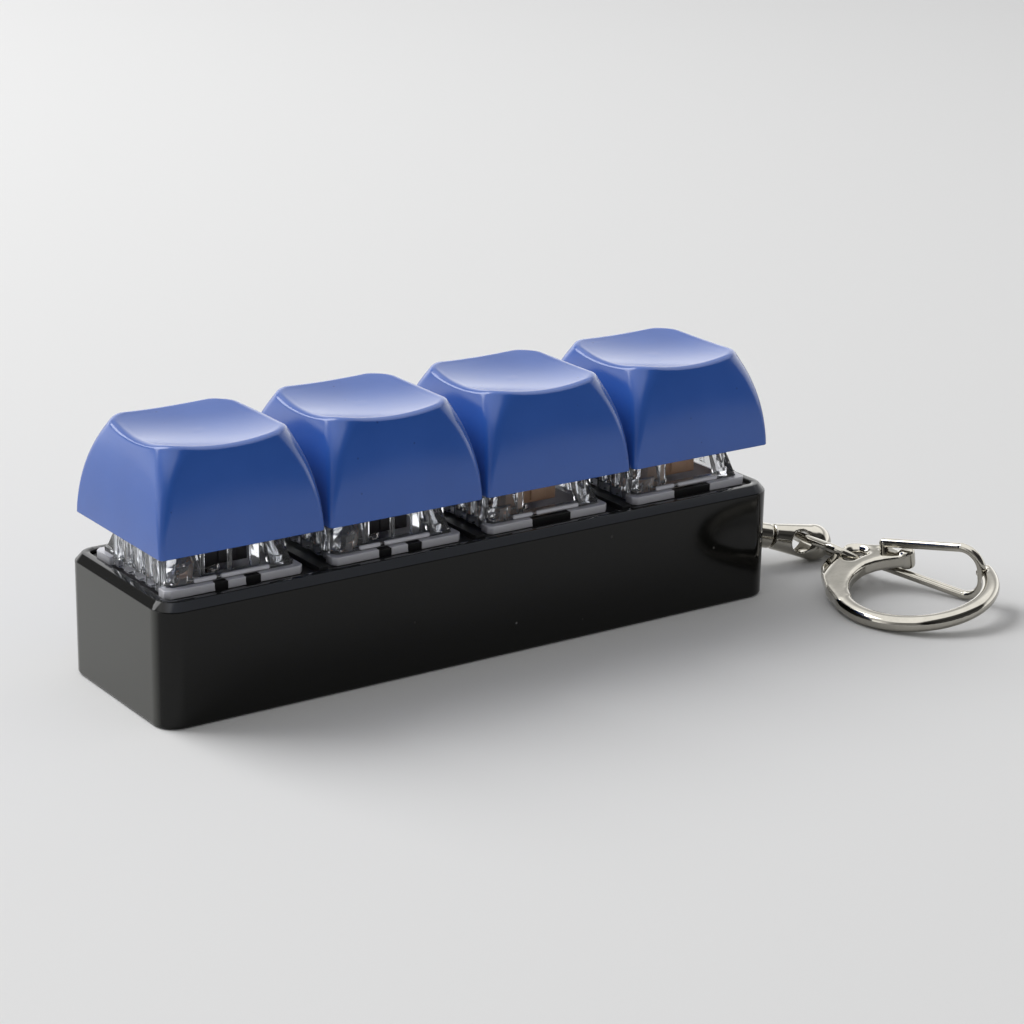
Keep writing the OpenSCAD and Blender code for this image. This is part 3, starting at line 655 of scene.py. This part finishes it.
def makeCapBoss():
    # the post under the cap, with the cross-shaped socket for the slider
    low = cap["bossLow"]
    boss = rod(cap["boss"] / 2, low, cap["ceiling"] + cap["bossSink"])
    for wide, deep in (cap["cross"], cap["cross"][::-1]):
        cut(boss, block((-wide / 2, -deep / 2, low - 0.2), (wide / 2, deep / 2, low + cap["crossDeep"])))
    breakEdges(boss, cap["bossEdge"], 2)
    return boss


pattern = joined("keycapPattern", [makeCapShell(), makeCapBoss()])
smooth(pattern, 50)
for k in (1, 2, 3, 4):
    piece = copyPiece(pattern, "keycap%d" % k, keyX[k - 1])
    finishPiece(piece, "keycap%d" % k, "key_%d" % k, capBlue, ["keycap_%d" % k])
bpy.data.objects.remove(pattern, do_unlink=True)
print("keycaps made")


case = {"halfX": 38.3, "halfY": 10.45, "high": 13.1, "corner": 2.5, "wall": 1.6, "floor": 1.6, "ledge": 11.2,
        "ledgeIn": 2.4, "foot": 0.42, "rimIn": 0.75, "rimDown": 0.8, "leastCorner": 0.9, "cornerSteps": 14,
        "socketX": (33.7, 38.1), "socketZ": (1.6, 6.8), "socketY": 4.9, "barX": 37.3, "bar": 1.8,
        "slotZ": (3.1, 5.9), "slotY": 3.9, "slotIn": 34.8, "slotEdge": 0.22}


def caseProfile():
    # (inset, height) up the wall, over the chamfer and the rim, then down inside to the ledge and the floor
    high, rimIn, foot, wall = case["high"], case["rimIn"], case["foot"], case["wall"]
    chamfer = high - case["rimDown"]
    points = [(foot * (1 - math.sin(math.radians(a))), foot * (1 - math.cos(math.radians(a))))
              for a in (22, 45, 68, 90)]
    points += [(0.0, chamfer - 0.14), (0.02, chamfer - 0.03), (0.08, chamfer + 0.06)]
    points += [(rimIn - 0.1, high - 0.09), (rimIn - 0.03, high - 0.02), (rimIn + 0.06, high)]
    points += [(wall - 0.16, high), (wall - 0.04, high - 0.05), (wall, high - 0.18)]
    points += [(wall, case["ledge"]), (case["ledgeIn"], case["ledge"])]
    points += [(case["ledgeIn"], case["floor"] + 0.3), (case["ledgeIn"] + 0.3, case["floor"])]
    return points


def makeCase():
    def ring(inset, z):
        corner = max(case["corner"] - inset, case["leastCorner"])
        return (case["halfX"] - inset, case["halfY"] - inset, corner, z)

    first = ring(case["foot"], 0)
    obj = roundedStart(first, case["cornerSteps"])
    grow([ring(*p) for p in caseProfile()], first)
    cleanNormals()
    editOff()
    # the keychain's slot, in a thicker stretch of the end wall, with a bar across it
    slotLow, slotHigh = case["slotZ"]
    slotY = case["slotY"]
    (nearX, farX), (socketLow, socketHigh) = case["socketX"], case["socketZ"]
    cut(obj, block((nearX, -case["socketY"], socketLow), (farX, case["socketY"], socketHigh)), "UNION")
    cut(obj, block((case["slotIn"], -slotY, slotLow), (case["slotIn"] + 5, slotY, slotHigh)))
    editOn(obj, "EDGE")
    selectEdges(lambda a, b: min(a.x, b.x) > case["halfX"] - 0.01 and max(abs(a.y), abs(b.y)) < slotY + 0.1
                and min(a.z, b.z) > slotLow - 0.1 and max(a.z, b.z) < slotHigh + 0.1)
    bpy.ops.mesh.bevel(offset=case["slotEdge"] * mm, segments=3, affect="EDGES")
    editOff()
    bar = rod(case["bar"] / 2, slotLow - 0.2, slotHigh + 0.2, (case["barX"], 0), 40)
    obj = joined("caseShell", [obj, bar])
    smooth(obj, 32)
    return obj


finishPiece(makeCase(), "caseShell", "case", caseBlack, ["case_shell"])
finishPiece(softCopy("switch_plate", "switchPlate", 0.12), "switchPlate", "case", plateBlack,
            ["switch_plate"])
print("case made")


spring = {"radius": 1.975, "wire": 0.35, "low": 8.905, "rise": 6.17, "turns": 7, "turnSteps": 32,
          "floor": 8.7, "keep": 0.36}
# what shows of each housing's flange and of its clear cover, from the switch's middle
housing = {"low": 12.72, "lip": 13.6, "above": 15, "notches": ([(-1.65, 1.5), (1.95, 1.7)], [(0.2, 5.0)]),
           "notchY": -7.8, "notchDeep": 0.9, "shadeBlockEdge": 0.06,
           "sideX": -7.8, "sideDeep": 1.1, "sideY": (-6.2, 4.5),
           "rails": ((-4.4, -1.9), (-1.4, 4.1)), "railY": (-7.32, -6.9), "railZ": (13.7, 14.18),
           "railEdge": 0.17,
           "ribs": (-5.3, -3.3, -1.0, 1.4, 3.7), "ribX": (-7.5, -6.6), "ribWide": 1.25, "ribHigh": 16.4,
           "ribEdge": 0.22}


def openFlange(base, x, kind):
    # the flange is open at the notches and along the left side, where the black plate shows; black blocks
    # fill the notches as painted shade
    low, gap = housing["low"], 0.02
    shadeBlocks = []
    front = housing["notchY"]
    back = front + housing["notchDeep"]
    for middle, length in housing["notches"][kind]:
        left, right = x + middle - length / 2, x + middle + length / 2
        cut(base, block((left, front - 1, low - 0.1), (right, back, housing["above"])))
        # painted shade: a black block fills each notch, standing in for the shade inside it
        shadeBlocks.append(block((left + gap, front, low - 0.05), (right - gap, back - gap, housing["lip"] - 0.06)))
    near, far = housing["sideY"]
    side = x + housing["sideX"]
    cut(base, block((side - 1, near, low - 0.1), (side + housing["sideDeep"], far, housing["above"])))
    # low rails stand along the front of the flange
    (frontY, backY), (footZ, topZ) = housing["railY"], housing["railZ"]
    rails = [block((x + a, frontY, footZ), (x + b, backY, topZ)) for a, b in housing["rails"]]
    for rail in rails:
        breakEdges(rail, housing["railEdge"])
    joined(base.name, [base] + rails)
    smooth(base, 40)
    return shadeBlocks


def addRibs(top, x):
    # upright ribs down the left wall of the clear cover
    parts = [top]
    near, far = housing["ribX"]
    half = housing["ribWide"] / 2
    for y in housing["ribs"]:
        rib = block((x + near, y - half, housing["low"] + 0.05), (x + far, y + half, housing["ribHigh"]))
        breakEdges(rib, housing["ribEdge"])
        smooth(rib, 40)
        parts.append(rib)
    return joined(top.name, parts)


def makeSpring():
    bpy.ops.mesh.primitive_circle_add(vertices=12, radius=spring["wire"] / 2 * mm, fill_type="NGON",
                                      location=(spring["radius"] * mm, 0, spring["low"] * mm),
                                      rotation=(math.radians(90), 0, 0))
    obj = bpy.context.active_object
    settle(obj)
    steps = spring["turnSteps"] * spring["turns"]
    modify(obj, "SCREW", axis="Z", angle=2 * math.pi * spring["turns"], iterations=1,
           screw_offset=spring["rise"] * mm, steps=steps, render_steps=steps, use_merge_vertices=False)
    editOn(obj)
    cleanNormals()
    editOff()
    smooth(obj, 60, weighted=False)
    return obj


springPattern = makeSpring()
notchShadeBlocks = []
for k in (1, 2, 3, 4):
    x = keyX[k - 1]
    dark = k < 3
    piece = copyPiece(springPattern, "spring%d" % k, x)
    finishPiece(piece, "spring%d" % k, "case", springSteel, ["spring_%d" % k])
    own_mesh(piece)
    stem = softCopy("stem_%d" % k, "stem%d" % k, 0.1)
    finishPiece(stem, "stem%d" % k, "key_%d" % k,
                stemDark if dark else stemTan, ["stem_%d" % k])
    top = addRibs(softCopy("housing_top_%d" % k, "housingTop%d" % k, 0.14), x)
    finishPiece(top, "housingTop%d" % k, "case", clearTop, ["housing_top_%d" % k])
    base = softCopy("housing_base_%d" % k, "housingBase%d" % k, 0.1)
    notchShadeBlocks += openFlange(base, x, 0 if dark else 1)
    finishPiece(base, "housingBase%d" % k, "case", clearBase, ["housing_base_%d" % k])
    blades = softCopy("contacts_%d" % k, "contacts%d" % k, 0.05)
    finishPiece(blades, "contacts%d" % k, "case", copper, ["contacts_%d" % k])
bpy.data.objects.remove(springPattern, do_unlink=True)
# the black blocks that stand in for the shade in the notches, joined into one piece
shadeBlocks = joined("notchShadeBlocks", notchShadeBlocks)
breakEdges(shadeBlocks, housing["shadeBlockEdge"], 2)
smooth(shadeBlocks, 40)
finishPiece(shadeBlocks, "notchShadeBlocks", "case", plateBlack)
print("switches made")


# the clasp lies in its own plane, its ring round the origin and its head at the top
clasp = {"place": (49.180, -22.645, 2.441), "lean": -10.4, "tip": 2.2, "half": 0.75,
         "ring": {"middle": 8.32, "halfWide": 0.96, "halfThick": 0.80, "from": 66, "to": 342, "steps": 160},
         "seat": {"at": (7.056, -3.246), "half": 0.62, "turn": 18.7},
         "headInner": 7.34, "headLow": 3.0, "eye": (0.1, 10.32, 1.45),
         "shoulder": [(-8.7, 3.0), (-7.3, 6.6), (-5.4, 9.6), (-3.5, 11.9), (-1.9, 12.9), (-0.2, 12.7),
                      (-1.2, 10.6), (-3.0, 7.9), (-6.5, 4.6)],
         "facet": {"at": (-3.5, 9.85, 0.75), "turn": 29, "tilt": 30},
         "finger": [(-2.6, 7.35), (-1.0, 7.3), (0.5, 7.05), (1.7, 6.55), (2.8, 5.9), (3.6, 5.2), (4.9, 6.0),
                    (4.4, 6.9), (3.9, 7.6), (4.1, 8.5), (2.6, 8.6), (0.0, 8.4), (-2.4, 8.2)],
         "fingerThick": 0.95,
         "button": {"at": (4.25, 5.95), "radius": 0.88, "half": 1.12, "edge": 0.3},
         "through": 3, "voxel": 0.11, "rounds": 30, "proud": 0.07}


def claspPlate(outline, half):
    mesh = bpy.data.meshes.new("claspPlate")
    mesh.from_pydata([(x * mm, y * mm, -half * mm) for x, y in outline], [], [list(range(len(outline)))])
    obj = bpy.data.objects.new("claspPlate", mesh)
    bpy.context.scene.collection.objects.link(obj)
    editOn(obj)
    bpy.ops.mesh.select_all(action="SELECT")
    bpy.ops.mesh.extrude_region_move(TRANSFORM_OT_translate={"value": (0, 0, 2 * half * mm)})
    cleanNormals()
    editOff()
    return obj


def claspRing():
    # a flat wire with round sides swept from the head round to the notch that takes the gate
    ring, seat = clasp["ring"], clasp["seat"]
    bpy.ops.mesh.primitive_circle_add(vertices=32, radius=ring["halfThick"] * mm, fill_type="NGON",
                                      rotation=(math.radians(90), 0, 0))
    obj = bpy.context.active_object
    settle(obj)
    editOn(obj, "VERT")
    bm = bmesh.from_edit_mesh(obj.data)
    for v in bm.verts:
        if abs(v.co.x) > tiny:
            v.co.x += math.copysign(ring["halfWide"] - ring["halfThick"], v.co.x) * mm
        v.co.x += ring["middle"] * mm
        v.co.z = max(-clasp["half"], min(clasp["half"], v.co.z / mm)) * mm
    bmesh.update_edit_mesh(obj.data)
    editOff()
    modify(obj, "SCREW", axis="Z", angle=math.radians(ring["to"] - ring["from"]), screw_offset=0,
           steps=ring["steps"], render_steps=ring["steps"])
    settle(obj, turned(ring["from"], "Z"))
    editOn(obj)
    bpy.ops.mesh.select_mode(type="EDGE")
    bpy.ops.mesh.select_all(action="DESELECT")
    bpy.ops.mesh.select_non_manifold()
    bpy.ops.mesh.edge_face_add()
    cleanNormals()
    editOff()
    x, y = seat["at"]
    through = clasp["through"]
    notch = block((-2, -seat["half"], -through), (0, seat["half"], through))
    settle(notch, moved(x, y) @ turned(seat["turn"], "Z"))
    cut(obj, rod(seat["half"], -through, through, (x, y)))
    cut(obj, notch)
    return obj


def claspShoulder():
    # the flat shoulder of the head, with a slanted facet and the eye for the link
    facet = clasp["facet"]
    shoulder = claspPlate(clasp["shoulder"], clasp["half"])
    facing = turned(facet["turn"], "Z") @ turned(-facet["tilt"], "X") @ Vector((0, 0, 1))
    editOn(shoulder)
    bpy.ops.mesh.select_all(action="SELECT")
    bpy.ops.mesh.bisect(plane_co=Vector(facet["at"]) * mm, plane_no=facing, use_fill=True, clear_outer=True)
    editOff()
    x, y, radius = clasp["eye"]
    cut(shoulder, rod(radius, -clasp["through"], clasp["through"], (x, y), 64))
    return shoulder


def makeClasp():
    place = moved(*clasp["place"]) @ turned(clasp["lean"], "Y") @ turned(clasp["tip"], "X")
    head = softCopy("clasp_body", "claspBody", 0)
    head.data.transform(place.inverted())
    cut(head, rod(clasp["headInner"], -clasp["through"], clasp["through"], sides=128))
    cut(head, block((-14, -14, -4), (14, clasp["headLow"], 4)))
    knob = clasp["button"]
    button = rod(knob["radius"], -knob["half"], knob["half"], knob["at"])
    breakEdges(button, knob["edge"])
    finger = claspPlate(clasp["finger"], clasp["half"] * clasp["fingerThick"])
    obj = joined("claspBody", [head, claspShoulder(), finger, button, claspRing()])
    melt(obj, clasp["voxel"], clasp["proud"], clasp["rounds"])
    settle(obj, place)
    return obj


# node, piece, body, voxel, how far it stands proud, rounds of smoothing
for node, name, body, voxel, proud, rounds in (
        ("jump_ring", "jumpRing", "jump_ring", 0.07, 0, 4),
        ("swivel_stud", "swivelStud", "swivel_stud", 0.07, 0.05, 5),
        ("swivel_barrel", "swivelBarrel", "swivel_barrel", 0.07, 0.08, 16),
        ("chain_link", "chainLink", "chain_link", 0.07, 0.02, 4),
        ("clasp_gate", "claspGate", "gate", 0.08, 0.02, 6)):
    finishPiece(melt(softCopy(node, name, 0), voxel, proud, rounds), name, body, nickel, [node])
finishPiece(makeClasp(), "claspBody", "clasp", nickel, ["clasp_body"])
print("keychain made")
